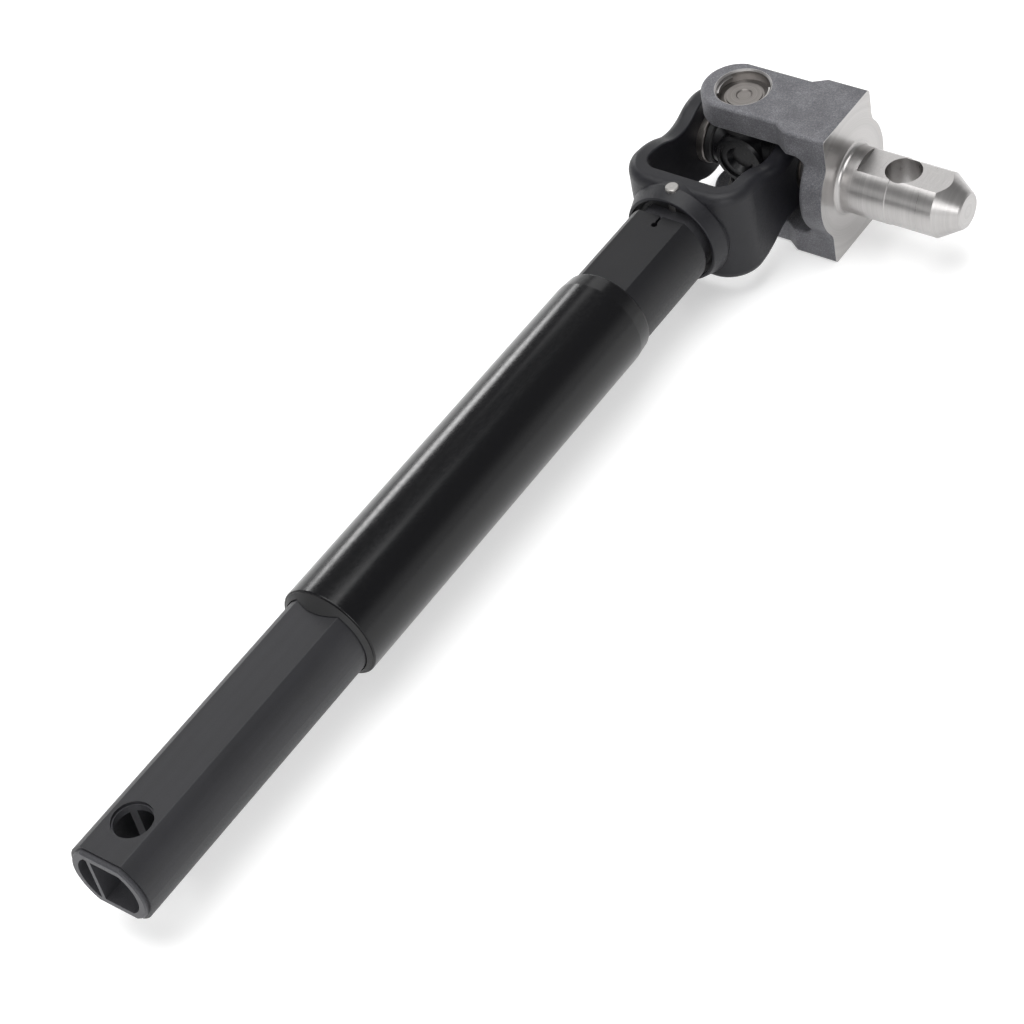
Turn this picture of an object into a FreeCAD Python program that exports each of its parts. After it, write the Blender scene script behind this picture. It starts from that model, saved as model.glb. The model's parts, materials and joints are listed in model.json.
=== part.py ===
# Intermediate steering shaft with a sliding double-D shaft and a needle-bearing universal joint.
# Millimetres. The shaft lies along +X, +Z is up, and the origin is on the shaft's axis,
# where the axis of the clamp-bolt hole crosses it.

import FreeCAD, Part
import math
import os

V = FreeCAD.Vector
ORIGIN = V(0, 0, 0)
X_DIR = V(1, 0, 0)
Y_DIR = V(0, 1, 0)
Z_DIR = V(0, 0, 1)

# Slip shaft: a steel double-D tube in a moulded jacket
SHAFT_ROUND_D = 25.4        # across the round sides, jacket included
SHAFT_FLATS = 21.6          # across the flats, jacket included
SHAFT_EDGE_R = 0.5          # rounding of the jacket's four long edges
JACKET_T = 1.0              # jacket thickness
CORE_WALL = 2.2             # wall of the steel tube
WEB_Y = 4.2                 # the inner web's middle, to the left of the axis
WEB_T = 1.2
HOLE_TO_END = 13.8          # bolt hole to the steel tube's end face
JACKET_SETBACK = 1.3        # the steel tube stands this far out of the jacket
SHAFT_INSIDE_L = 72.7       # length of the shaft inside the barrel
END_CHAMFER = 0.4
CLAMP_HOLE_D = 10.6         # clearance hole of the clamp bolt, in the steel
CLAMP_HOLE_RELIEF = 0.35    # the jacket is cut back this far all round the hole
WEB_RELIEF = 0.5            # the web is cut back this far round the hole

# Barrel: the round outer tube that the shaft slides in
HOLE_TO_BARREL = 77.3       # bolt hole to the barrel's mouth
BARREL_L = 133.7
BARREL_D = 29.6
BARREL_WALL = 1.4
BARREL_TAPER_L = 5.5        # taper at the closed end
BARREL_TAPER_DROP = 0.6     # the taper takes this off the radius
BARREL_END_R = 0.7          # rounding at the end of the taper
BARREL_MOUTH_R = 0.45       # rounding of the barrel's mouth
SLIDE_GAP = 0.06            # guide bush to jacket, all round
SEAT_GAP = 0.02             # between pieces that are pressed together
GUIDE_SETBACK = 5.7         # barrel's mouth to the guide bush
GUIDE_L = 70.0
GUIDE_GROOVE_W = 1.6        # grease grooves in the guide's flats
GUIDE_GROOVE_DEPTH = 0.5
GUIDE_GROOVE_PITCH = 3.2

# Mouth seal: a ring with a forward-leaning front and a double-D hole
SEAL_LIP_GAP = 0.3          # lip to jacket
SEAL_RIM_W = 0.6            # the barrel's rim shows this wide round the seal's front
SEAL_SLOPE = 1.0            # the front leans forward by this much for each mm inwards
SEAL_FLANGE_T = 0.8

# Neck tube and rubber coupling to the tube yoke
NECK_FLATS = 22.0           # across the neck tube's flats
NECK_WALL = 2.0
NECK_INSIDE_L = 23.0        # length inside the barrel
NECK_OUTSIDE_L = 31.4
KEYHOLE_SETBACK = 3.9       # keyhole to the neck tube's end
KEYHOLE_D = 1.9
KEYHOLE_SLOT_W = 0.8
CORE_TUBE_WALL = 2.0
CORE_TUBE_INSIDE_L = 20.4   # length inside the neck tube
RUBBER_SETBACK = 1.6        # collar's front to the rubber's front
RUBBER_END_GAP = 0.7        # rubber's end to the fork's inner face
RUBBER_DISH = 1.2           # the rubber's front face is dished this deep
CORE_TUBE_END_GAP = 0.3     # rubber's end to the core tube's end

# Tube yoke: a pressed plate fork whose drawn collar flares into the plate
NECK_TO_COLLAR = 2.6        # gap in which the neck tube's end stays visible
COLLAR_L = 10.6             # collar's front to the fork's inner face
COLLAR_BORE_D = 28.0
COLLAR_FRONT_D = 29.6       # outside, at the collar's front
COLLAR_ROOT_D = 32.8        # outside, where the collar meets the plate
COLLAR_FRONT_R = 0.5        # rounding of the collar's front edge
COLLAR_DRAFT = 1.0          # the collar's radius drops this much within the plate
PLATE_T = 6.0
CROTCH_TO_JOINT = 34.5      # fork's inner face to the joint's centre
FORK_INNER_R = 4.5          # inside bend radius of the plate
BLANK_HALF_W = 15.8         # half width of the plate at the base
BLANK_SHOULDER_L = 3.4      # inner face to where the ear starts to narrow
WAIST_HALF_W = 11.0         # half width at the narrowest place of the ear
WAIST_TO_JOINT = 12.6
EAR_RIM_W = 6.0             # width of metal round the bearing bore
EAR_CLEARANCE = 0.3         # ear's head to the stub yoke's arms
EAR_PROUD = 0.3             # the ear stands this far out past the cup's floor
YOKE_EDGE_R = 3.0           # rounding along the plate's outer edges
YOKE_INNER_EDGE_R = 0.6     # rounding along its inner edges
PIN_SETBACK = 4.4           # collar's front to the lock pin
PIN_D = 4.0
PIN_PROUD = 0.5

# Universal joint bearings
JOINT_HALF_SPAN = 20.2      # joint's centre to the outer face of each cup's floor
CUP_D = 16.0
CUP_WALL = 1.15
CUP_FLOOR_T = 1.5
CUP_MOUTH_ROOM = 4.2        # joint's centre to the cup's mouth, less a cup's radius
CUP_DISC_R = 5.45           # raised disc on the cup's floor
CUP_DISC_H = 0.35
CUP_DISC_FOOT = 0.5         # flat ring round the disc
CUP_SHOULDER = 0.9          # taper from the flat ring to the wall
CUP_DIMPLE_R = 2.5
CUP_DIMPLE_DEPTH = 0.35
CUP_DIMPLE_SLOPE = 0.4
CUP_LIP_T = 0.5
CUP_MOUTH_CHAMFER = 0.3
NEEDLE_D = 2.0
NEEDLE_GAP = 0.03           # needle to trunnion, and needle to cup
NEEDLE_END_GAP = 0.2
TRUNNION_END_GAP = 0.1
TRUNNION_ROOT_STEP = 1.0    # step in radius under the cup's mouth
TRUNNION_SHOULDER_STEP = 0.9
SEAL_SEAT_L = 2.4           # cup's mouth to the trunnion's shoulder
ROOT_TO_CUP = 0.5           # cup's mouth to the root step
SEAL_RING_INSET = 0.5       # the seal's radius is this much under the cup's
SEAL_RING_GAP = 0.3         # seal to cup mouth
SEAL_RING_LIP = 0.5
HUB_STEP = 1.3              # hub's rim to the trunnions' shoulders
HUB_COVER = 0.71            # the hub's faces stand this far out past the shoulders' sides
HUB_EDGE = 0.8
HUB_RIM_W = 1.9             # rim round the step in the hub's face
HUB_RING_DEPTH = 0.7
HUB_POCKET_R = 4.55
HUB_POCKET_DEPTH = 2.4
HUB_POCKET_SLOPE = 1.15
STAKE_DEPTH = 0.7           # how far staked metal leans over the cup
STAKE_HALF_ANGLE = 33.0
STAKE_T = 1.4
STAKE_GAP = 0.1             # stake to the cup's floor
BORE_CHAMFER = 0.5

# Stub yoke: a forging with a machined face and stub, bent square to the tube
ARM_PROUD = 2.75            # the arm stands this far out past the cup's floor
ARM_RIM_W = 2.55            # least width of metal beside the bearing bore
ARM_END_RIM_W = 5.0         # metal beyond the bore at the arm's round end
ARM_END_SHARE = 0.35        # where the round end starts, as a share of its radius
BLEND_START = 17.3          # distances along the stub, from the joint's centre
BLEND_L = 4.0
BLOCK_WIDENING = 2.65       # the block is this much wider than the arm, on each side
MOUTH_FLOOR = 27.2
MOUTH_R = 3.5
MOUTH_PAD_R = 9.0           # round pad on the mouth's floor
MOUTH_PAD_H = 1.5
BLOCK_T = 7.6               # mouth's floor to the machined face
BOSS_R = 18.0
BOSS_OVERLAP = 0.8          # the boss starts this far before the mouth's floor
BOSS_BLEND_R = 5.0          # hollow rounding where the boss runs into the block's sides
BOSS_EDGE_R = 2.0           # rounding of the boss's back edge
FORGING_EDGE_R = 1.2        # rounding along the arms' outer edges
FORGING_INNER_EDGE_R = 0.8  # rounding along their inner edges
STUB_D = 20.1               # the ground seat beside the machined face
STUB_SEAT_L = 15.8          # machined face to the fine step at the seat's end
STUB_SHANK_D = 19.7         # past the step
STUB_ROOT_R = 1.6           # hollow rounding at the stub's root
STUB_STRAIGHT_L = 30.9      # machined face to the tip's taper
STUB_TAPER_L = 7.0
STUB_TIP_D = 11.4
STUB_TIP_EDGE = 0.5         # chamfer of the tip's end
STUB_FLAT_H = 8.5           # stub's axis to its flat
STUB_FLAT_SETBACK = 5.1     # machined face to the flat
STUB_HOLE_TO_FACE = 17.7
STUB_HOLE_D = 11.0
STUB_SEAM_ANGLE = 22.5      # the turned surface closes on itself here, clear of the flat

# Sizes worked out from the ones above
shaft_r = SHAFT_ROUND_D / 2
shaft_h = SHAFT_FLATS / 2
core_r = shaft_r - JACKET_T
core_h = shaft_h - JACKET_T
hollow_r = core_r - CORE_WALL
hollow_h = core_h - CORE_WALL
barrel_r = BARREL_D / 2
barrel_bore_r = barrel_r - BARREL_WALL
neck_r = barrel_bore_r - SEAT_GAP
neck_h = NECK_FLATS / 2
collar_bore_r = COLLAR_BORE_D / 2
collar_root_r = COLLAR_ROOT_D / 2

# Places along the tube
shaft_start_x = -HOLE_TO_END
barrel_start_x = HOLE_TO_BARREL
shaft_end_x = barrel_start_x + SHAFT_INSIDE_L
guide_start_x = barrel_start_x + GUIDE_SETBACK
guide_end_x = guide_start_x + GUIDE_L
barrel_end_x = barrel_start_x + BARREL_L
neck_start_x = barrel_end_x - NECK_INSIDE_L
neck_end_x = barrel_end_x + NECK_OUTSIDE_L
collar_start_x = neck_end_x + NECK_TO_COLLAR
crotch_x = collar_start_x + COLLAR_L
base_outer_x = crotch_x - PLATE_T
rubber_start_x = collar_start_x + RUBBER_SETBACK
rubber_end_x = crotch_x - RUBBER_END_GAP
core_tube_start_x = neck_end_x - CORE_TUBE_INSIDE_L
core_tube_end_x = rubber_end_x - CORE_TUBE_END_GAP
pin_x = collar_start_x + PIN_SETBACK
joint_x = crotch_x + CROTCH_TO_JOINT
joint_centre = V(joint_x, 0, 0)

# Distances from the joint's centre
cup_r = CUP_D / 2
cup_inner_r = cup_r - CUP_WALL
cup_mouth_z = cup_r + CUP_MOUTH_ROOM
cup_floor_inner_z = JOINT_HALF_SPAN - CUP_FLOOR_T
needle_r = NEEDLE_D / 2
needle_orbit_r = cup_inner_r - NEEDLE_GAP - needle_r
needle_count = int(math.pi / math.asin(needle_r / needle_orbit_r))
trunnion_r = needle_orbit_r - needle_r - NEEDLE_GAP
trunnion_root_r = trunnion_r + TRUNNION_ROOT_STEP
trunnion_shoulder_r = trunnion_root_r + TRUNNION_SHOULDER_STEP
trunnion_root_z = cup_mouth_z - ROOT_TO_CUP
trunnion_shoulder_z = cup_mouth_z - SEAL_SEAT_L
hub_r = trunnion_shoulder_z - HUB_STEP
hub_half_t = trunnion_shoulder_r + HUB_COVER
ear_r = cup_r + EAR_RIM_W
ear_outer_y = JOINT_HALF_SPAN + EAR_PROUD
ear_inner_y = ear_outer_y - PLATE_T
arm_outer_z = JOINT_HALF_SPAN + ARM_PROUD
arm_inner_z = ear_r + EAR_CLEARANCE
arm_half_w = cup_r + ARM_RIM_W
arm_end_r = cup_r + ARM_END_RIM_W
block_half_w = arm_half_w + BLOCK_WIDENING
block_start = BLEND_START + BLEND_L
block_face = MOUTH_FLOOR + BLOCK_T
stub_r = STUB_D / 2
stub_taper = block_face + STUB_STRAIGHT_L
stub_tip = stub_taper + STUB_TAPER_L
far = 2 * stub_tip          # longer than any cut needs


def cylinder(radius, start, end, direction=X_DIR, centre=ORIGIN):
    """Cylinder along a direction, from one distance to another past the centre."""
    return Part.makeCylinder(radius, end - start, centre + direction * start, direction)


def box(low, high):
    """Box between two corners."""
    return Part.makeBox(high[0] - low[0], high[1] - low[1], high[2] - low[2], V(*low))


def double_d(radius, half_flats, start, end):
    """Round bar along X with flats at the top and bottom."""
    bar = cylinder(radius, start, end)
    return bar.common(box((start, -radius, -half_flats), (end, radius, half_flats)))


def turned(profile, direction=X_DIR, centre=ORIGIN):
    """Solid turned from straight (distance, radius) points about a direction."""
    side = Y_DIR if abs(direction.x) > 0.5 else X_DIR
    points = [centre + direction * along + side * radius for along, radius in profile]
    face = Part.Face(Part.makePolygon(points + points[:1]))
    solid = Part.Solid(face.revolve(centre, direction, 360))
    if solid.Volume < 0:
        solid.reverse()
    return solid


def edges_where(shape, test):
    """Edges whose middle point passes a test."""
    found = []
    for edge in shape.Edges:
        middle = edge.valueAt((edge.FirstParameter + edge.LastParameter) / 2)
        if test(edge, middle):
            found.append(edge)
    return found


def on_trunnion(shape, side):
    """Moves a piece made on the upward trunnion at the origin to one of the four sides."""
    angle = {"top": 0, "right": 90, "bottom": 180, "left": 270}[side]
    placed = shape.copy()
    placed.rotate(ORIGIN, X_DIR, angle)
    placed.translate(joint_centre)
    return placed


# Slip shaft
def slip_shaft_core():
    outer = double_d(core_r, core_h, shaft_start_x, shaft_end_x)
    rim = edges_where(outer, lambda edge, p: abs(p.x - shaft_start_x) < 0.01)
    outer = outer.makeChamfer(END_CHAMFER, rim)
    hollow = double_d(hollow_r, hollow_h, shaft_start_x - 1, shaft_end_x + 1)
    web = box((shaft_start_x - 2, WEB_Y - WEB_T / 2, -shaft_r),
              (shaft_end_x + 2, WEB_Y + WEB_T / 2, shaft_r))
    web = web.cut(cylinder(CLAMP_HOLE_D / 2 + WEB_RELIEF, -far, far, Z_DIR))
    tube = outer.cut(hollow.cut(web))
    return tube.cut(cylinder(CLAMP_HOLE_D / 2, -far, far, Z_DIR))


def slip_shaft_jacket():
    start = shaft_start_x + JACKET_SETBACK
    outer = double_d(shaft_r, shaft_h, start, shaft_end_x)
    long_edges = edges_where(outer, lambda edge, p: abs(edge.tangentAt(edge.FirstParameter).x) > 0.99)
    outer = outer.makeFillet(SHAFT_EDGE_R, long_edges)
    jacket = outer.cut(double_d(core_r, core_h, start - 1, shaft_end_x + 1))
    relief = CLAMP_HOLE_D / 2 + CLAMP_HOLE_RELIEF
    return jacket.cut(cylinder(relief, -far, far, Z_DIR))


# Barrel and its inner pieces
def barrel_tube():
    end_r = barrel_r - BARREL_TAPER_DROP
    tube = turned([
        (barrel_start_x, barrel_bore_r),
        (barrel_start_x, barrel_r),
        (barrel_end_x - BARREL_TAPER_L, barrel_r),
        (barrel_end_x, end_r),
        (barrel_end_x, barrel_bore_r),
    ])
    mouth = edges_where(tube, lambda edge, p: abs(p.x - barrel_start_x) < 0.01
                        and math.hypot(p.y, p.z) > barrel_r - 0.01)
    tube = tube.makeFillet(BARREL_MOUTH_R, mouth)
    rim = edges_where(tube, lambda edge, p: abs(p.x - barrel_end_x) < 0.01
                      and math.hypot(p.y, p.z) > end_r - 0.01)
    return tube.makeFillet(BARREL_END_R, rim)


def guide_bush():
    sleeve = cylinder(barrel_bore_r - SEAT_GAP, guide_start_x, guide_end_x)
    gap = SLIDE_GAP
    sleeve = sleeve.cut(double_d(shaft_r + gap, shaft_h + gap, guide_start_x - 1, guide_end_x + 1))
    groove_top = shaft_h + gap + GUIDE_GROOVE_DEPTH
    grooves = []
    for index in (-1, 0, 1):
        middle = index * GUIDE_GROOVE_PITCH
        for low, high in ((0, groove_top), (-groove_top, 0)):
            grooves.append(box((guide_start_x - 1, middle - GUIDE_GROOVE_W / 2, low),
                               (guide_end_x + 1, middle + GUIDE_GROOVE_W / 2, high)))
    return sleeve.cut(grooves[0].multiFuse(grooves[1:]))


def mouth_seal():
    gap = SEAL_LIP_GAP
    lip_r = shaft_h + gap
    rim_r = barrel_r - SEAL_RIM_W
    lean = (rim_r - lip_r) * SEAL_SLOPE
    front_x = barrel_start_x - SEAT_GAP
    ring = turned([
        (front_x - lean, 0),
        (front_x - lean, lip_r),
        (front_x, rim_r),
        (front_x, barrel_bore_r - SEAT_GAP),
        (guide_start_x - SEAT_GAP, barrel_bore_r - SEAT_GAP),
        (guide_start_x - SEAT_GAP, 0),
    ])
    hole = double_d(shaft_r + gap, shaft_h + gap, front_x - 2 * lean, guide_start_x + 1)
    inside = double_d(shaft_r + gap, shaft_h + gap + SEAL_FLANGE_T, front_x + SEAL_FLANGE_T,
                      guide_start_x + 1)
    return ring.cut(hole).cut(inside)


# Neck tube and rubber coupling
def neck_tube():
    tube = double_d(neck_r, neck_h, neck_start_x, neck_end_x)
    bore = double_d(neck_r - NECK_WALL, neck_h - NECK_WALL, neck_start_x - 1, neck_end_x + 1)
    tube = tube.cut(bore)
    hole_x = neck_end_x - KEYHOLE_SETBACK
    hole = cylinder(KEYHOLE_D / 2, 0, far, Z_DIR, V(hole_x, 0, 0))
    slot = box((hole_x, -KEYHOLE_SLOT_W / 2, 0), (neck_end_x + 1, KEYHOLE_SLOT_W / 2, far))
    return tube.cut(hole.fuse(slot))


def coupling_section(start, end, inset=0.0):
    """Double-D bar that fits the neck tube's bore."""
    radius = neck_r - NECK_WALL - SEAT_GAP - inset
    half = neck_h - NECK_WALL - SEAT_GAP - inset
    return double_d(radius, half, start, end)


def lock_pin_hole(extra=0.0):
    return cylinder(PIN_D / 2 + extra, -far, far, Z_DIR, V(pin_x, 0, 0))


def coupling_core():
    outer = coupling_section(core_tube_start_x, core_tube_end_x)
    bore = coupling_section(core_tube_start_x - 1, core_tube_end_x + 1, CORE_TUBE_WALL)
    return outer.cut(bore).cut(lock_pin_hole())


def coupling_rubber():
    ring = turned([
        (rubber_start_x + RUBBER_DISH, 0),
        (rubber_start_x + RUBBER_DISH, (neck_r + collar_bore_r) / 2 - RUBBER_DISH),
        (rubber_start_x, collar_bore_r),
        (rubber_end_x, collar_bore_r),
        (rubber_end_x, 0),
    ])
    return ring.cut(coupling_section(rubber_start_x - 1, rubber_end_x + 1)).cut(lock_pin_hole())


def lock_pin():
    length = collar_root_r + PIN_PROUD
    pin = cylinder(PIN_D / 2, -length, length, Z_DIR, V(pin_x, 0, 0))
    ends = edges_where(pin, lambda edge, p: abs(abs(p.z) - length) < 0.01)
    return pin.makeFillet(END_CHAMFER, ends)


# Tube yoke
def fork_section():
    """The bent plate seen from above, as a face in the XY plane."""
    end_x = joint_x + ear_r
    outer_r = FORK_INNER_R + PLATE_T
    bend_x = crotch_x + FORK_INNER_R
    bend_y = ear_inner_y - FORK_INNER_R
    slant = math.sqrt(0.5)

    def bend(radius, side):
        middle = V(bend_x - radius * slant, side * (bend_y + radius * slant), 0)
        if side > 0:
            return Part.Arc(V(bend_x - radius, bend_y, 0), middle, V(bend_x, bend_y + radius, 0))
        return Part.Arc(V(bend_x, -bend_y - radius, 0), middle, V(bend_x - radius, -bend_y, 0))

    def line(x0, y0, x1, y1):
        return Part.LineSegment(V(x0, y0, 0), V(x1, y1, 0))

    path = [
        line(end_x, ear_outer_y, bend_x, ear_outer_y),
        bend(outer_r, 1),
        line(base_outer_x, bend_y, base_outer_x, -bend_y),
        bend(outer_r, -1),
        line(bend_x, -ear_outer_y, end_x, -ear_outer_y),
        line(end_x, -ear_outer_y, end_x, -ear_inner_y),
        line(end_x, -ear_inner_y, bend_x, -ear_inner_y),
        bend(FORK_INNER_R, -1),
        line(crotch_x, -bend_y, crotch_x, bend_y),
        bend(FORK_INNER_R, 1),
        line(bend_x, ear_inner_y, end_x, ear_inner_y),
        line(end_x, ear_inner_y, end_x, ear_outer_y),
    ]
    edges = Part.sortEdges([piece.toShape() for piece in path])[0]
    return Part.Face(Part.Wire(edges))


def ear_outline():
    """The plate's blank seen from the side, as a face in the XZ plane.

    Each flank is two arcs that run into each other: one curves in from the blank's straight edge, the
    other out again round the waist to the ear's head, which it also meets smoothly.
    """
    start_x = base_outer_x - 1
    shoulder_x = crotch_x + BLANK_SHOULDER_L
    waist_x = joint_x - WAIST_TO_JOINT
    waist_r = (WAIST_TO_JOINT ** 2 + WAIST_HALF_W ** 2 - ear_r ** 2) / (2 * (ear_r - WAIST_HALF_W))
    waist_centre = V(waist_x, 0, WAIST_HALF_W + waist_r)
    rise = waist_centre.z - BLANK_HALF_W
    run = waist_x - shoulder_x
    shoulder_r = (run ** 2 + rise ** 2 - waist_r ** 2) / (2 * (waist_r - rise))
    shoulder_centre = V(shoulder_x, 0, BLANK_HALF_W - shoulder_r)

    def between(centre, radius, first, last):
        """Arc about a centre between two of its points."""
        middle = ((first - centre).normalize() + (last - centre).normalize()).normalize()
        return Part.Arc(first, centre + middle * radius, last).toShape()

    shoulder = V(shoulder_x, 0, BLANK_HALF_W)
    turn = shoulder_centre + (waist_centre - shoulder_centre).normalize() * shoulder_r
    head = joint_centre + (waist_centre - joint_centre).normalize() * ear_r
    flank = [between(shoulder_centre, shoulder_r, shoulder, turn), between(waist_centre, waist_r, turn, head)]
    other_flank = [edge.mirror(ORIGIN, Z_DIR) for edge in flank]
    base = Part.makePolygon([shoulder, V(start_x, 0, BLANK_HALF_W), V(start_x, 0, -BLANK_HALF_W),
                             V(shoulder_x, 0, -BLANK_HALF_W)])
    rim = Part.Arc(head, V(joint_x + ear_r, 0, 0), V(head.x, 0, -head.z)).toShape()
    edges = Part.sortEdges(flank + other_flank + base.Edges + [rim])[0]
    return Part.Face(Part.Wire(edges))


def skin_edges(fork, depth):
    """Edges that run along the bent plate, at a depth below its outer skin."""
    bend_x = crotch_x + FORK_INNER_R
    bend_y = ear_inner_y - FORK_INNER_R

    def runs_along(edge, p):
        if p.x > bend_x:
            below = ear_outer_y - abs(p.y)
        elif abs(p.y) < bend_y:
            below = p.x - base_outer_x
        else:
            below = FORK_INNER_R + PLATE_T - math.hypot(p.x - bend_x, abs(p.y) - bend_y)
        spans_width = edge.valueAt(edge.FirstParameter).z * edge.valueAt(edge.LastParameter).z < -1
        straight = edge.Curve.TypeId == "Part::GeomLine"
        return abs(below - depth) < 0.01 and not (straight and spans_width)

    return edges_where(fork, runs_along)


def fork_plate():
    """The bent and trimmed plate, rounded along its outer edges."""
    reach = 2 * BLANK_HALF_W
    plate = fork_section()
    plate.translate(V(0, 0, -reach))
    plate = plate.extrude(V(0, 0, 2 * reach))
    outline = ear_outline()
    outline.translate(V(0, -reach, 0))
    fork = plate.common(outline.extrude(V(0, 2 * reach, 0)))
    fork = fork.makeFillet(YOKE_EDGE_R, skin_edges(fork, 0))
    return fork.makeFillet(YOKE_INNER_EDGE_R, skin_edges(fork, PLATE_T))


def collar_solid():
    """The drawn collar as a solid piece that flares towards the plate, rounded at its front edge."""
    front_r = COLLAR_FRONT_D / 2
    collar = turned([
        (collar_start_x, 0),
        (collar_start_x, front_r),
        (base_outer_x, collar_root_r),
        (crotch_x, collar_root_r - COLLAR_DRAFT),
        (crotch_x, 0),
    ])
    front = edges_where(collar, lambda edge, p: abs(p.x - collar_start_x) < 0.01
                        and math.hypot(p.y, p.z) > front_r - 0.01)
    return collar.makeFillet(COLLAR_FRONT_R, front)


def tube_yoke():
    yoke = fork_plate().fuse(collar_solid()).removeSplitter()
    yoke = yoke.cut(cylinder(collar_bore_r, collar_start_x - 1, crotch_x + 1))
    yoke = yoke.cut(cylinder(cup_r, -far, far, Y_DIR, joint_centre))
    yoke = yoke.cut(lock_pin_hole())
    stakes = stake_pair(JOINT_HALF_SPAN, ear_outer_y)
    return yoke.multiFuse([on_trunnion(stakes, side) for side in ("left", "right")])


def stake_pair(low, high):
    """Two arcs of metal that lean over the cup, for the upward bore at the origin."""
    ring = cylinder(cup_r, low, high, Z_DIR).cut(cylinder(cup_r - STAKE_DEPTH, low - 1, high + 1, Z_DIR))
    wedge = Part.makeCylinder(cup_r, high - low, V(0, 0, low), Z_DIR, 2 * STAKE_HALF_ANGLE)
    wedge.rotate(ORIGIN, Z_DIR, 90 - STAKE_HALF_ANGLE)
    opposite = wedge.copy()
    opposite.rotate(ORIGIN, Z_DIR, 180)
    return ring.common(wedge.fuse(opposite))


# Universal joint
def cross_spider():
    hub = turned([
        (-hub_half_t, 0),
        (-hub_half_t, hub_r - HUB_EDGE),
        (-hub_half_t + HUB_EDGE, hub_r),
        (hub_half_t - HUB_EDGE, hub_r),
        (hub_half_t, hub_r - HUB_EDGE),
        (hub_half_t, 0),
    ], X_DIR, joint_centre)
    top = cup_floor_inner_z - TRUNNION_END_GAP
    arm = turned([
        (0, 0),
        (0, trunnion_shoulder_r),
        (trunnion_shoulder_z, trunnion_shoulder_r),
        (trunnion_shoulder_z, trunnion_root_r),
        (trunnion_root_z, trunnion_root_r),
        (trunnion_root_z, trunnion_r),
        (top - END_CHAMFER, trunnion_r),
        (top, trunnion_r - END_CHAMFER),
        (top, 0),
    ], Z_DIR)
    cross = hub.multiFuse([on_trunnion(arm, side) for side in ("top", "right", "bottom", "left")])
    for side in (1, -1):
        face_x = side * hub_half_t
        step_x = face_x - side * HUB_RING_DEPTH
        floor_x = face_x - side * HUB_POCKET_DEPTH
        pocket = turned([
            (face_x + side, 0),
            (face_x + side, hub_r - HUB_RIM_W),
            (step_x, hub_r - HUB_RIM_W),
            (step_x, HUB_POCKET_R),
            (floor_x, HUB_POCKET_R - HUB_POCKET_SLOPE),
            (floor_x, 0),
        ], X_DIR, joint_centre)
        cross = cross.cut(pocket)
    return cross


def trunnion_seal():
    low = trunnion_shoulder_z
    high = cup_mouth_z - SEAL_RING_GAP
    outer = cup_r - SEAL_RING_INSET
    inner = trunnion_root_r
    lip = SEAL_RING_LIP
    return turned([
        (low, inner),
        (low, outer - lip),
        (low + lip, outer),
        (high, outer),
        (high, outer - 2 * lip),
        (high - lip, outer - 3 * lip),
        (high - lip, inner),
    ], Z_DIR)


def bearing_cup():
    mouth = cup_mouth_z
    floor = JOINT_HALF_SPAN
    lip_r = trunnion_r + needle_r
    return turned([
        (mouth, lip_r),
        (mouth, cup_r - CUP_MOUTH_CHAMFER),
        (mouth + CUP_MOUTH_CHAMFER, cup_r),
        (floor - CUP_SHOULDER, cup_r),
        (floor - CUP_DISC_H, CUP_DISC_R + CUP_DISC_FOOT),
        (floor - CUP_DISC_H, CUP_DISC_R),
        (floor, CUP_DISC_R),
        (floor, CUP_DIMPLE_R),
        (floor - CUP_DIMPLE_DEPTH, CUP_DIMPLE_R - CUP_DIMPLE_SLOPE),
        (floor - CUP_DIMPLE_DEPTH, 0),
        (cup_floor_inner_z, 0),
        (cup_floor_inner_z, cup_inner_r),
        (mouth + CUP_LIP_T, cup_inner_r),
        (mouth + CUP_LIP_T, lip_r),
    ], Z_DIR)


def needle_rollers():
    low = cup_mouth_z + CUP_LIP_T + NEEDLE_END_GAP
    high = cup_floor_inner_z - NEEDLE_END_GAP
    rollers = []
    for index in range(needle_count):
        angle = 2 * math.pi * index / needle_count
        place = V(needle_orbit_r * math.cos(angle), needle_orbit_r * math.sin(angle), 0)
        rollers.append(cylinder(needle_r, low, high, Z_DIR, place))
    return Part.makeCompound(rollers)


# Stub yoke, made along +Y from the joint's centre and turned to point along -Y
def arm_plan():
    """Top view of the forging: arms with round ends that widen to the block."""
    slant_y = -arm_end_r * ARM_END_SHARE
    points = [V(-arm_half_w, slant_y, 0), V(-arm_half_w, BLEND_START, 0), V(-block_half_w, block_start, 0),
              V(-block_half_w, block_face, 0), V(block_half_w, block_face, 0),
              V(block_half_w, block_start, 0), V(arm_half_w, BLEND_START, 0), V(arm_half_w, slant_y, 0)]
    end = Part.Arc(points[-1], V(0, -arm_end_r, 0), points[0]).toShape()
    edges = Part.sortEdges(Part.makePolygon(points).Edges + [end])[0]
    return Part.Face(Part.Wire(edges))


def clevis_section():
    """Side view of the forging: a fork with a rounded mouth, as a face in the YZ plane."""
    tip = -arm_end_r - 1
    outer = [V(0, tip, arm_inner_z), V(0, tip, arm_outer_z), V(0, block_face, arm_outer_z),
             V(0, block_face, -arm_outer_z), V(0, tip, -arm_outer_z), V(0, tip, -arm_inner_z)]
    edges = Part.makePolygon(outer).Edges
    bend_y = MOUTH_FLOOR - MOUTH_R
    bend_z = arm_inner_z - MOUTH_R
    corner = MOUTH_R * math.sqrt(0.5)
    for side in (1, -1):
        arm_end = V(0, tip, side * arm_inner_z)
        bend_start = V(0, bend_y, side * arm_inner_z)
        bend_middle = V(0, bend_y + corner, side * (bend_z + corner))
        bend_end = V(0, MOUTH_FLOOR, side * bend_z)
        edges.append(Part.LineSegment(arm_end, bend_start).toShape())
        edges.append(Part.Arc(bend_start, bend_middle, bend_end).toShape())
    edges.append(Part.LineSegment(V(0, MOUTH_FLOOR, bend_z), V(0, MOUTH_FLOOR, -bend_z)).toShape())
    return Part.Face(Part.Wire(Part.sortEdges(edges)[0]))


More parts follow.
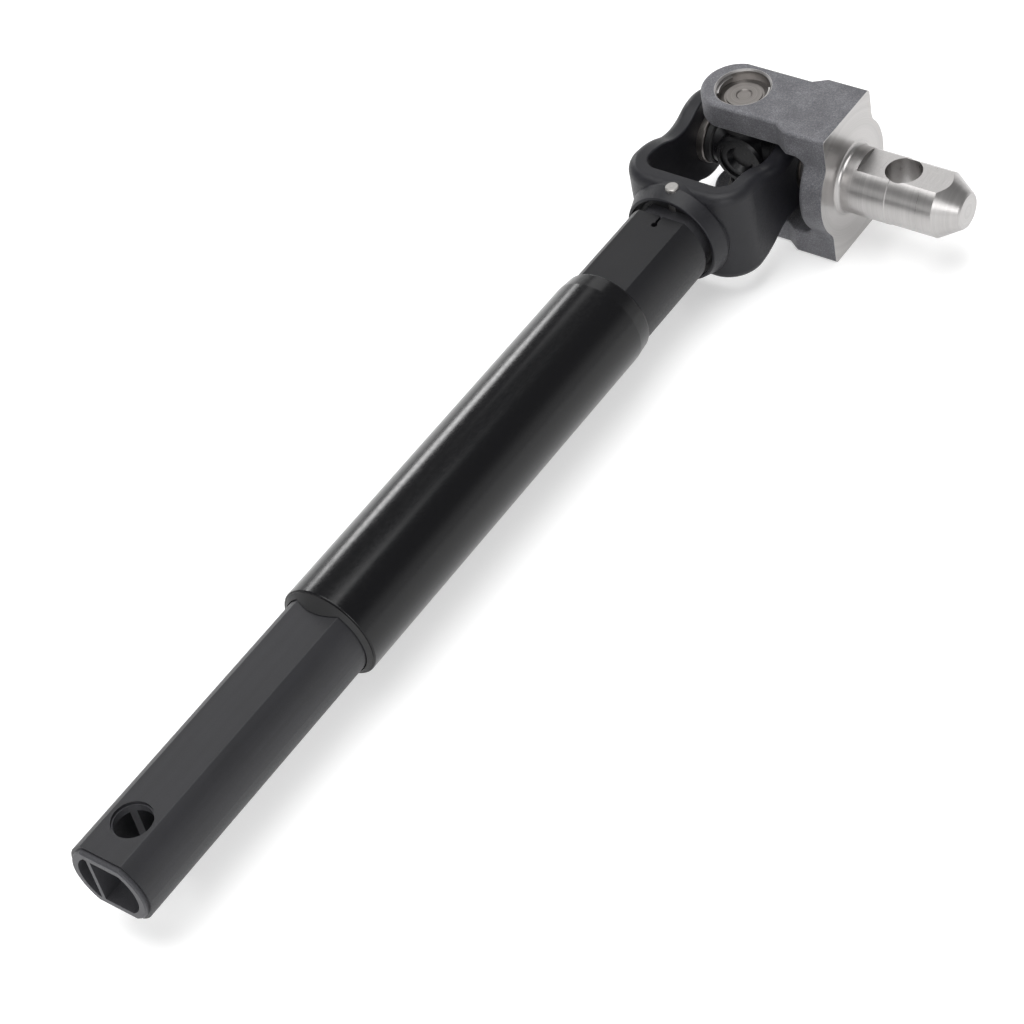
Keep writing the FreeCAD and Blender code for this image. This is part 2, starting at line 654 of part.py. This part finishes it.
def forging():
    """The two arms and the block that joins them, with rounded edges."""
    reach = 2 * BOSS_R
    plan = arm_plan()
    plan.translate(V(0, 0, -reach))
    side_view = clevis_section()
    side_view.translate(V(-reach, 0, 0))
    body = plan.extrude(V(0, 0, 2 * reach)).common(side_view.extrude(V(2 * reach, 0, 0)))

    def beside_axis(p):
        return abs(p.x) > 1 or p.y < 0

    outer = edges_where(body, lambda edge, p: abs(p.z) > arm_outer_z - 0.01 and beside_axis(p)
                        and p.y < block_face - 0.01)
    body = body.makeFillet(FORGING_EDGE_R, outer)
    inner = edges_where(body, lambda edge, p: abs(abs(p.z) - arm_inner_z) < 0.01 and beside_axis(p))
    return body.makeFillet(FORGING_INNER_EDGE_R, inner)


def boss():
    """Prism round the stub's foot: a circle whose sides run into the block's flanks."""
    start = MOUTH_FLOOR - BOSS_OVERLAP
    blend_x = block_half_w + BOSS_BLEND_R
    blend_z = math.sqrt((BOSS_R + BOSS_BLEND_R) ** 2 - blend_x ** 2)
    share = BOSS_R / (BOSS_R + BOSS_BLEND_R)
    edges = []
    for side in (1, -1):
        edges.append(Part.Arc(V(side * blend_x * share, start, blend_z * share), V(side * BOSS_R, start, 0),
                              V(side * blend_x * share, start, -blend_z * share)).toShape())
        edges.append(Part.makeLine(V(block_half_w, start, side * blend_z),
                                   V(-block_half_w, start, side * blend_z)))
        for end in (1, -1):
            centre = V(side * blend_x, start, end * blend_z)
            inward = (V(-centre.x, 0, -centre.z).normalize() + V(-side, 0, 0)).normalize()
            edges.append(Part.Arc(V(side * block_half_w, start, end * blend_z),
                                  centre + inward * BOSS_BLEND_R,
                                  V(side * blend_x * share, start, end * blend_z * share)).toShape())
    prism = Part.Face(Part.Wire(Part.sortEdges(edges)[0])).extrude(V(0, block_face - start, 0))
    back = edges_where(prism, lambda edge, p: abs(p.y - start) < 0.01 and abs(p.x) > block_half_w)
    return prism.makeFillet(BOSS_EDGE_R, back)


def stub():
    """The turned stub with its seat, fine step and taper, then its flat and cross hole."""
    shank_r = STUB_SHANK_D / 2
    bar = turned([
        (block_face - 1, 0),
        (block_face - 1, stub_r),
        (block_face + STUB_SEAT_L, stub_r),
        (block_face + STUB_SEAT_L + stub_r - shank_r, shank_r),
        (stub_taper, shank_r),
        (stub_tip - STUB_TIP_EDGE, STUB_TIP_D / 2),
        (stub_tip, STUB_TIP_D / 2 - STUB_TIP_EDGE),
        (stub_tip, 0),
    ], Y_DIR)
    bar.rotate(ORIGIN, Y_DIR, -STUB_SEAM_ANGLE)
    flat = box((-STUB_D, block_face + STUB_FLAT_SETBACK, STUB_FLAT_H), (STUB_D, stub_tip + 1, STUB_D))
    hole = V(0, block_face + STUB_HOLE_TO_FACE, 0)
    return bar.cut(flat).cut(cylinder(STUB_HOLE_D / 2, -far, far, Z_DIR, hole))


def stub_yoke():
    reach = 2 * BOSS_R
    pad = cylinder(MOUTH_PAD_R, MOUTH_FLOOR - MOUTH_PAD_H, block_face, Y_DIR)
    mouth = box((-reach, 0, -arm_inner_z), (reach, MOUTH_FLOOR, arm_inner_z))
    body = forging().fuse(boss().cut(mouth)).fuse(pad).fuse(stub()).removeSplitter()
    root = edges_where(body, lambda edge, p: abs(p.y - block_face) < 0.01
                       and abs(math.hypot(p.x, p.z) - stub_r) < 0.01)
    body = body.makeFillet(STUB_ROOT_R, root)
    bore = turned([
        (arm_inner_z - 1, 0),
        (arm_inner_z - 1, cup_r),
        (arm_outer_z - BORE_CHAMFER, cup_r),
        (arm_outer_z + BORE_CHAMFER, cup_r + 2 * BORE_CHAMFER),
        (arm_outer_z + BORE_CHAMFER, 0),
    ], Z_DIR)
    under = bore.copy()
    under.rotate(ORIGIN, X_DIR, 180)
    body = body.cut(bore).cut(under)
    stake_z = JOINT_HALF_SPAN + STAKE_GAP
    stakes = stake_pair(stake_z, stake_z + STAKE_T)
    lower_stakes = stakes.copy()
    lower_stakes.rotate(ORIGIN, X_DIR, 180)
    body = body.multiFuse([stakes, lower_stakes])
    body.rotate(ORIGIN, Z_DIR, 180)
    body.translate(joint_centre)
    return body


def export(name, shape):
    shape.exportStep("parts/" + name + ".step")
    print(name, "solids", len(shape.Solids), "valid", shape.isValid(), "volume", round(shape.Volume, 1))


os.makedirs("parts", exist_ok=True)
export("slip_shaft_core", slip_shaft_core())
export("slip_shaft_jacket", slip_shaft_jacket())
export("barrel_tube", barrel_tube())
export("guide_bush", guide_bush())
export("mouth_seal", mouth_seal())
export("neck_tube", neck_tube())
export("coupling_core", coupling_core())
export("coupling_rubber", coupling_rubber())
export("lock_pin", lock_pin())
export("tube_yoke", tube_yoke())
export("cross_spider", cross_spider())
export("stub_yoke", stub_yoke())
for position in ("top", "right", "bottom", "left"):
    export("trunnion_seal_" + position, on_trunnion(trunnion_seal(), position))
    export("bearing_cup_" + position, on_trunnion(bearing_cup(), position))
    export("needle_rollers_" + position, on_trunnion(needle_rollers(), position))
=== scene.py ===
"""Intermediate steering shaft: a jacketed double-D slip shaft, an enamelled barrel and a universal joint."""

import json
import math

import bpy
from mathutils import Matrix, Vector


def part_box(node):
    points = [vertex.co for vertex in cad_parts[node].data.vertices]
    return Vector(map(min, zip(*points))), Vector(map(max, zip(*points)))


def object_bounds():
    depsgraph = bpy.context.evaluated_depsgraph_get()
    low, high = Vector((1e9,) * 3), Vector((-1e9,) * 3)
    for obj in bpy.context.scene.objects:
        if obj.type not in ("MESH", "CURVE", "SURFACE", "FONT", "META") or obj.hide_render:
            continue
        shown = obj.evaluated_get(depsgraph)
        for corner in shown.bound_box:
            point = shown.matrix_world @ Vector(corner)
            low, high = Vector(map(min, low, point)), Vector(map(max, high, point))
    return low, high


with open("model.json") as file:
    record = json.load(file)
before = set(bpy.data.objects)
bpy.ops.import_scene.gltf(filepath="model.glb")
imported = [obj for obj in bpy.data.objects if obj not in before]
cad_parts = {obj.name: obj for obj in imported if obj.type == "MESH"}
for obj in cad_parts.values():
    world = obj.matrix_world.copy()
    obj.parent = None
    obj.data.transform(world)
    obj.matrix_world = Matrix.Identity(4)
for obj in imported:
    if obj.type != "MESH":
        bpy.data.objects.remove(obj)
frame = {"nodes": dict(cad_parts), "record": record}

MM = 0.001
SIDES = ("top", "right", "bottom", "left")
nodes = frame["nodes"]
cad_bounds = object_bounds()


# Places read from the frame
def middle(node):
    """Centre of a node's box, in metres."""
    low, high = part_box(node)
    return (Vector(low) + Vector(high)) / 2


joint = middle("cross_spider")
lock_pin = middle("lock_pin")
mount = {entry["name"]: Vector(entry["pos_m"]) for entry in frame["record"]["mounts"]}

# The forging is bare metal from just behind its turned face to the stub's end, and in its bearing bores
TURNING_DEPTH_MM = 0.15
BORED_RADIUS_MM = 8.6
turned_from_mm = (mount["stub_shoulder"] - joint).y / MM + TURNING_DEPTH_MM


# Colours and nodes
def linear(hex_colour):
    """An sRGB hex colour as linear RGBA."""
    channels = []
    for start in (1, 3, 5):
        value = int(hex_colour[start:start + 2], 16) / 255
        channels.append(value / 12.92 if value <= 0.04045 else ((value + 0.055) / 1.055) ** 2.4)
    return (*channels, 1.0)


def add(tree, kind, settings=None, links=None):
    """Adds a node; settings fill its properties, sockets or colour stops, links join its sockets to others."""
    node = tree.nodes.new(kind)
    for name, value in (settings or {}).items():
        if name == "stops":
            elements = node.color_ramp.elements
            while len(elements) < len(value):
                elements.new(0.5)
            for element, (position, colour) in zip(elements, value):
                element.position = position
                element.color = linear(colour)
        elif isinstance(name, str) and hasattr(node, name):
            setattr(node, name, value)
        else:
            node.inputs[name].default_value = value
    for name, source in (links or {}).items():
        output = source if isinstance(source, bpy.types.NodeSocket) else source.outputs[0]
        tree.links.new(output, node.inputs[name])
    return node


def new_material(name):
    """An empty material and its node tree."""
    material = bpy.data.materials.new(name)
    material.use_nodes = True
    material.node_tree.nodes.clear()
    return material, material.node_tree


def millimetres(tree, centre=(0, 0, 0), scale=(1, 1, 1)):
    """Object coordinates in millimetres from a centre given in metres."""
    coordinates = add(tree, "ShaderNodeTexCoord")
    shifted = add(tree, "ShaderNodeVectorMath", {"operation": "SUBTRACT", 1: tuple(centre)},
                  {0: coordinates.outputs["Object"]})
    return add(tree, "ShaderNodeVectorMath", {"operation": "MULTIPLY", 1: tuple(s / MM for s in scale)},
               {0: shifted})


def distance(tree, first, second):
    """Distance from an axis, given the two coordinates across it."""
    flat = add(tree, "ShaderNodeCombineXYZ", {}, {0: first, 1: second})
    return add(tree, "ShaderNodeVectorMath", {"operation": "LENGTH"}, {0: flat}).outputs["Value"]


# Noise in four dimensions, the fourth being its seed, and the part of its range that most of it fills
NOISE = {"noise_dimensions": "4D", "W": 0.0, "Roughness": 0.55}
MOST = {"From Min": 0.3, "From Max": 0.7}


# Nylon 6, moulded over the tube: satin grey, with faint flow lines along the shaft and fine spark texture
def moulded_nylon():
    flow_mm = 1.6
    flow_stretch = 25
    spark_mm = 0.35
    spark_depth_mm = 0.012
    cloud_mm = 14.0
    material, tree = new_material("moulded_nylon_jacket")
    mm = millimetres(tree)
    along = millimetres(tree, scale=(1 / flow_stretch, 1, 1))
    flow = add(tree, "ShaderNodeTexNoise", NOISE | {"Scale": 1 / flow_mm, "Detail": 2}, {"Vector": along})
    spark = add(tree, "ShaderNodeTexNoise", NOISE | {"Scale": 1 / spark_mm, "Detail": 4}, {"Vector": mm})
    cloud = add(tree, "ShaderNodeTexNoise", NOISE | {"Scale": 1 / cloud_mm, "Detail": 2, "W": 3},
                {"Vector": mm})
    tone = add(tree, "ShaderNodeMix", {"Factor": 0.4}, {"A": flow, "B": cloud})
    colour = add(tree, "ShaderNodeValToRGB", {"stops": [(0.3, "#1A1A1D"), (0.7, "#222226")]}, {"Fac": tone})
    gloss = add(tree, "ShaderNodeMapRange", MOST | {"To Min": 0.42, "To Max": 0.56}, {"Value": spark})
    relief = add(tree, "ShaderNodeBump", {"Strength": 0.6, "Distance": spark_depth_mm * MM},
                 {"Height": spark})
    shader = add(tree, "ShaderNodeBsdfPrincipled", {"IOR": 1.46},
                 {"Base Color": colour, "Roughness": gloss, "Normal": relief})
    add(tree, "ShaderNodeOutputMaterial", {}, {"Surface": shader})
    return material


# Baked enamel on steel tube: deep gloss black with a slight orange peel; it mirrors a little less than most
def black_enamel():
    peel_mm = 1.1
    peel_depth_mm = 0.006
    dust_mm = 0.25
    dust_depth_mm = 0.003
    material, tree = new_material("baked_black_enamel")
    mm = millimetres(tree)
    peel = add(tree, "ShaderNodeTexNoise", NOISE | {"Scale": 1 / peel_mm, "Detail": 2}, {"Vector": mm})
    dust = add(tree, "ShaderNodeTexNoise", NOISE | {"Scale": 1 / dust_mm, "Detail": 3, "W": 5},
               {"Vector": mm})
    colour = add(tree, "ShaderNodeValToRGB", {"stops": [(0.35, "#060608"), (0.75, "#0A0A0D")]}, {"Fac": dust})
    gloss = add(tree, "ShaderNodeMapRange", MOST | {"To Min": 0.17, "To Max": 0.25}, {"Value": peel})
    waves = add(tree, "ShaderNodeBump", {"Strength": 0.6, "Distance": peel_depth_mm * MM}, {"Height": peel})
    relief = add(tree, "ShaderNodeBump", {"Strength": 0.5, "Distance": dust_depth_mm * MM},
                 {"Height": dust, "Normal": waves})
    shader = add(tree, "ShaderNodeBsdfPrincipled", {"IOR": 1.38},
                 {"Base Color": colour, "Roughness": gloss, "Normal": relief})
    add(tree, "ShaderNodeOutputMaterial", {}, {"Surface": shader})
    return material


# Cathodic electrocoat: an even satin charcoal that follows the metal's grain
def electrocoat(name, dark, light, grain_mm, grain_depth_mm):
    cloud_mm = 9.0
    material, tree = new_material(name)
    mm = millimetres(tree)
    grain = add(tree, "ShaderNodeTexNoise", NOISE | {"Scale": 1 / grain_mm, "Detail": 4}, {"Vector": mm})
    cloud = add(tree, "ShaderNodeTexNoise", NOISE | {"Scale": 1 / cloud_mm, "Detail": 3, "W": 7},
                {"Vector": mm})
    tone = add(tree, "ShaderNodeMix", {"Factor": 0.5}, {"A": grain, "B": cloud})
    colour = add(tree, "ShaderNodeValToRGB", {"stops": [(0.35, dark), (0.65, light)]}, {"Fac": tone})
    gloss = add(tree, "ShaderNodeMapRange", MOST | {"To Min": 0.38, "To Max": 0.52}, {"Value": grain})
    relief = add(tree, "ShaderNodeBump", {"Strength": 0.6, "Distance": grain_depth_mm * MM},
                 {"Height": grain})
    shader = add(tree, "ShaderNodeBsdfPrincipled", {"IOR": 1.4},
                 {"Base Color": colour, "Roughness": gloss, "Normal": relief})
    add(tree, "ShaderNodeOutputMaterial", {}, {"Surface": shader})
    return material


# Forged steel, shot-blasted, then turned and bored: an even grey grit beside bright, finely ringed metal
def machined_forging():
    grit_mm = 0.38
    grit_depth_mm = 0.05
    cloud_mm = 6.0
    ring_mm = 0.22
    ring_depth_mm = 0.003
    band_mm = 1.8
    material, tree = new_material("blasted_and_turned_forging")
    mm = millimetres(tree, joint)
    x, y, z = add(tree, "ShaderNodeSeparateXYZ", {}, {0: mm}).outputs
    past_face = add(tree, "ShaderNodeMath", {"operation": "LESS_THAN", 1: turned_from_mm}, {0: y})
    in_bore = add(tree, "ShaderNodeMath", {"operation": "LESS_THAN", 1: BORED_RADIUS_MM},
                  {0: distance(tree, x, y)})
    bare = add(tree, "ShaderNodeMath", {"operation": "MAXIMUM"}, {0: past_face, 1: in_bore})

    grit = add(tree, "ShaderNodeTexNoise", NOISE | {"Scale": 1 / grit_mm, "Detail": 5, "Roughness": 0.7},
               {"Vector": mm})
    cloud = add(tree, "ShaderNodeTexNoise", NOISE | {"Scale": 1 / cloud_mm, "Detail": 3, "W": 2},
                {"Vector": mm})
    tone = add(tree, "ShaderNodeMix", {"Factor": 0.25}, {"A": grit, "B": cloud})
    greys = [(0.35, "#4E4E52"), (0.5, "#656569"), (0.66, "#8C8C90")]
    blasted = add(tree, "ShaderNodeValToRGB", {"stops": greys}, {"Fac": tone})
    blasted_gloss = add(tree, "ShaderNodeMapRange", MOST | {"To Min": 0.42, "To Max": 0.62}, {"Value": grit})
    blasted_height = add(tree, "ShaderNodeMapRange", MOST | {"To Max": grit_depth_mm}, {"Value": grit})

    about_stub = add(tree, "ShaderNodeCombineXYZ", {}, {0: distance(tree, x, z), 1: y})
    rings = add(tree, "ShaderNodeTexNoise", NOISE | {"Scale": 1 / ring_mm, "Detail": 2},
                {"Vector": about_stub})
    bands = add(tree, "ShaderNodeTexNoise", NOISE | {"Scale": 1 / band_mm, "Detail": 2, "W": 4},
                {"Vector": about_stub})
    tone = add(tree, "ShaderNodeMix", {"Factor": 0.45}, {"A": rings, "B": bands})
    turned = add(tree, "ShaderNodeValToRGB", {"stops": [(0.3, "#A3A1A0"), (0.7, "#BAB8B7")]}, {"Fac": tone})
    turned_gloss = add(tree, "ShaderNodeMapRange", MOST | {"To Min": 0.27, "To Max": 0.33}, {"Value": bands})
    turned_height = add(tree, "ShaderNodeMapRange", MOST | {"To Max": ring_depth_mm}, {"Value": rings})

    colour = add(tree, "ShaderNodeMix", {"data_type": "RGBA"}, {0: bare, 6: blasted, 7: turned}).outputs[2]
    metal = add(tree, "ShaderNodeMapRange", {"To Min": 0.4}, {"Value": bare})
    gloss = add(tree, "ShaderNodeMix", {}, {"Factor": bare, "A": blasted_gloss, "B": turned_gloss})
    height = add(tree, "ShaderNodeMix", {}, {"Factor": bare, "A": blasted_height, "B": turned_height})
    relief = add(tree, "ShaderNodeBump", {"Strength": 1.0, "Distance": MM}, {"Height": height})
    shader = add(tree, "ShaderNodeBsdfPrincipled", {},
                 {"Base Color": colour, "Metallic": metal, "Roughness": gloss, "Normal": relief})
    add(tree, "ShaderNodeOutputMaterial", {}, {"Surface": shader})
    return material


# Turned steel: bright, with rings about the turning axis on faces, and along it on round stretches
def turned_steel(name, centre, dark, light, roughness, ring_mm):
    ring_depth_mm = 0.004
    band_mm = 2.2
    material, tree = new_material(name)
    mm = millimetres(tree, centre)
    x, y, z = add(tree, "ShaderNodeSeparateXYZ", {}, {0: mm}).outputs
    about_z = add(tree, "ShaderNodeCombineXYZ", {}, {0: distance(tree, x, y), 1: z})
    rings = add(tree, "ShaderNodeTexNoise", NOISE | {"Scale": 1 / ring_mm, "Detail": 2}, {"Vector": about_z})
    bands = add(tree, "ShaderNodeTexNoise", NOISE | {"Scale": 1 / band_mm, "Detail": 2, "W": 4},
                {"Vector": about_z})
    tone = add(tree, "ShaderNodeMix", {"Factor": 0.45}, {"A": rings, "B": bands})
    colour = add(tree, "ShaderNodeValToRGB", {"stops": [(0.3, dark), (0.7, light)]}, {"Fac": tone})
    gloss = add(tree, "ShaderNodeMapRange", MOST | {"To Min": roughness - 0.05, "To Max": roughness + 0.07},
                {"Value": bands})
    relief = add(tree, "ShaderNodeBump", {"Strength": 0.8, "Distance": ring_depth_mm * MM}, {"Height": rings})
    shader = add(tree, "ShaderNodeBsdfPrincipled", {"Metallic": 1.0},
                 {"Base Color": colour, "Roughness": gloss, "Normal": relief})
    add(tree, "ShaderNodeOutputMaterial", {}, {"Surface": shader})
    return material


def grained(name, stops, gloss_range, grain_mm, depth_mm, detail, strength, shader_values):
    """A material with a single grain that shades its colour, its gloss and its relief."""
    material, tree = new_material(name)
    grain = add(tree, "ShaderNodeTexNoise", NOISE | {"Scale": 1 / grain_mm, "Detail": detail},
                {"Vector": millimetres(tree)})
    colour = add(tree, "ShaderNodeValToRGB", {"stops": stops}, {"Fac": grain})
    gloss = add(tree, "ShaderNodeMapRange", MOST | {"To Min": gloss_range[0], "To Max": gloss_range[1]},
                {"Value": grain})
    relief = add(tree, "ShaderNodeBump", {"Strength": strength, "Distance": depth_mm * MM}, {"Height": grain})
    shader = add(tree, "ShaderNodeBsdfPrincipled", shader_values,
                 {"Base Color": colour, "Roughness": gloss, "Normal": relief})
    add(tree, "ShaderNodeOutputMaterial", {}, {"Surface": shader})
    return material


# Drawn steel, phosphated: dark grey with a dull metal sheen
def phosphated_steel():
    return grained("phosphated_drawn_steel", [(0.3, "#3A3A3D"), (0.7, "#4A4A4E")], (0.42, 0.58),
                   grain_mm=0.4, depth_mm=0.02, detail=4, strength=0.5, shader_values={"Metallic": 0.35})


# Nitrile rubber, moulded: near black and matte
def moulded_rubber():
    return grained("moulded_nitrile_rubber", [(0.3, "#0D0D0E"), (0.7, "#151517")], (0.5, 0.68),
                   grain_mm=0.3, depth_mm=0.01, detail=3, strength=0.5, shader_values={"IOR": 1.52})


# Forged steel, blacked in oil: darker than the yokes and slightly wet
def blacked_forging():
    return grained("oil_blacked_forging", [(0.35, "#121214"), (0.7, "#1E1E21")], (0.26, 0.44),
                   grain_mm=0.5, depth_mm=0.03, detail=4, strength=0.6, shader_values={"Metallic": 0.3})


def dress_nodes():
    """Gives every node of the frame its material."""
    nylon = moulded_nylon()
    drawn_steel = phosphated_steel()
    rubber = moulded_rubber()
    cup_steel = turned_steel("drawn_cup_steel", joint, "#76726F", "#918D8A", 0.38, ring_mm=0.3)
    finishes = {
        "slip_shaft_core": drawn_steel,
        "slip_shaft_jacket": nylon,
        "barrel_tube": black_enamel(),
        "guide_bush": nylon,
        "mouth_seal": rubber,
        "neck_tube": electrocoat("electrocoated_neck_tube", "#0C0C0F", "#121216", 0.5, 0.008),
        "coupling_core": drawn_steel,
        "coupling_rubber": rubber,
        "lock_pin": turned_steel("ground_pin_steel", lock_pin, "#9A9896", "#B8B6B3", 0.35, ring_mm=0.22),
        "tube_yoke": electrocoat("electrocoated_pressing", "#131317", "#1B1B20", 0.7, 0.02),
        "cross_spider": blacked_forging(),
        "stub_yoke": machined_forging(),
    }
    for side in SIDES:
        finishes["trunnion_seal_" + side] = rubber
        finishes["bearing_cup_" + side] = cup_steel
        finishes["needle_rollers_" + side] = cup_steel
    for name, material in finishes.items():
        mesh = nodes[name].data
        mesh.materials.clear()
        mesh.materials.append(material)


# Floor and studio, in metres and watts
FLOOR_SIZE = 6.0
FLOOR_PAINT = "#E6E6E6"
FLOOR_GLOW = 0.35
SKY_LIGHT = 0.5
SKY_SEEN_LOW = 1.0
SKY_SEEN_HIGH = 0.3
SKY_DIMS_FROM = 0.12
SKY_DIMS_TO = 0.5
WHITE = (1, 1, 1, 1)


def studio_floor():
    """A pale floor that looks white, also in the part's gloss, and keeps the part's shadow."""
    bpy.ops.mesh.primitive_plane_add(size=FLOOR_SIZE, location=(0, 0, cad_bounds[0][2]))
    floor = bpy.context.object
    floor.name = "studio_floor"
    bpy.ops.object.transform_apply(location=True, rotation=True, scale=True)
    material, tree = new_material("white_studio_floor")
    rays = add(tree, "ShaderNodeLightPath")
    seen = add(tree, "ShaderNodeMath", {"operation": "MAXIMUM"},
               {0: rays.outputs["Is Camera Ray"], 1: rays.outputs["Is Glossy Ray"]})
    seen = add(tree, "ShaderNodeMath", {"operation": "MAXIMUM"},
               {0: seen, 1: rays.outputs["Is Transmission Ray"]})
    paint = add(tree, "ShaderNodeBsdfDiffuse", {"Color": linear(FLOOR_PAINT)})
    glow = add(tree, "ShaderNodeEmission", {"Color": WHITE, "Strength": FLOOR_GLOW})
    lit = add(tree, "ShaderNodeAddShader", {}, {0: paint, 1: glow})
    shown = add(tree, "ShaderNodeMixShader", {}, {0: seen, 1: paint, 2: lit})
    add(tree, "ShaderNodeOutputMaterial", {}, {"Surface": shown})
    floor.data.materials.append(material)


def studio_world():
    """White behind the part; in its gloss dimmer overhead, so that gloss black stays black on top."""
    world = bpy.data.worlds.new("studio")
    bpy.context.scene.world = world
    world.use_nodes = True
    tree = world.node_tree
    tree.nodes.clear()
    rays = add(tree, "ShaderNodeLightPath")
    direction = add(tree, "ShaderNodeTexCoord")
    height = add(tree, "ShaderNodeSeparateXYZ", {}, {0: direction.outputs["Generated"]})
    overhead = add(tree, "ShaderNodeMapRange",
                   {"interpolation_type": "SMOOTHSTEP", "From Min": SKY_DIMS_FROM, "From Max": SKY_DIMS_TO,
                    "To Min": SKY_SEEN_LOW, "To Max": SKY_SEEN_HIGH},
                   {"Value": height.outputs["Z"]})
    reflected = add(tree, "ShaderNodeMath", {"operation": "MAXIMUM"},
                    {0: rays.outputs["Is Glossy Ray"], 1: rays.outputs["Is Transmission Ray"]})
    strength = add(tree, "ShaderNodeMix", {"A": SKY_LIGHT}, {"Factor": reflected, "B": overhead})
    strength = add(tree, "ShaderNodeMix", {"B": 1.0},
                   {"Factor": rays.outputs["Is Camera Ray"], "A": strength})
    background = add(tree, "ShaderNodeBackground", {"Color": WHITE}, {"Strength": strength})
    add(tree, "ShaderNodeOutputWorld", {}, {"Surface": background})


def softbox(name, location, target, side, power):
    """A square area lamp aimed at a point."""
    lamp = bpy.data.lights.new(name, "AREA")
    lamp.shape = "RECTANGLE"
    lamp.size = side
    lamp.size_y = side
    lamp.energy = power
    holder = bpy.data.objects.new(name, lamp)
    bpy.context.scene.collection.objects.link(holder)
    holder.location = location
    holder.rotation_euler = (Vector(target) - Vector(location)).to_track_quat("-Z", "Y").to_euler()


def studio_lamps():
    """Boxes overhead and beside the camera, one for the barrel's far edge and one for the stub's flat."""
    softbox("overhead_box", (0.1, 0.1, 1.4), (0.15, 0, 0), side=1.2, power=16)
    softbox("left_box", (-0.9, -0.9, 0.8), (0.15, 0, 0), side=0.8, power=7)
    softbox("back_strip", (0.85, 1.15, 0.48), (0.1, 0, 0), side=0.3, power=3)
    softbox("stub_card", (0.82, 0.31, 0.54), mount["stub_bolt_hole"], side=0.36, power=0.5)


# Camera: place in metres, turn in degrees, lens and sensor in millimetres
CAMERA_PLACE = (-0.24130, -0.38933, 0.53567)
CAMERA_TURN = (43.707, 9.619, -55.355)
LENS = 98.68
SENSOR = 36


def photo_camera():
    camera = bpy.data.cameras.new("photo_camera")
    camera.sensor_width = SENSOR
    camera.lens = LENS
    holder = bpy.data.objects.new("photo_camera", camera)
    bpy.context.scene.collection.objects.link(holder)
    holder.location = CAMERA_PLACE
    holder.rotation_euler = [math.radians(angle) for angle in CAMERA_TURN]
    bpy.context.scene.camera = holder


bpy.ops.object.select_all(action="DESELECT")
dress_nodes()
studio_floor()
studio_world()
studio_lamps()
photo_camera()
bpy.context.scene.view_settings.view_transform = "Standard"
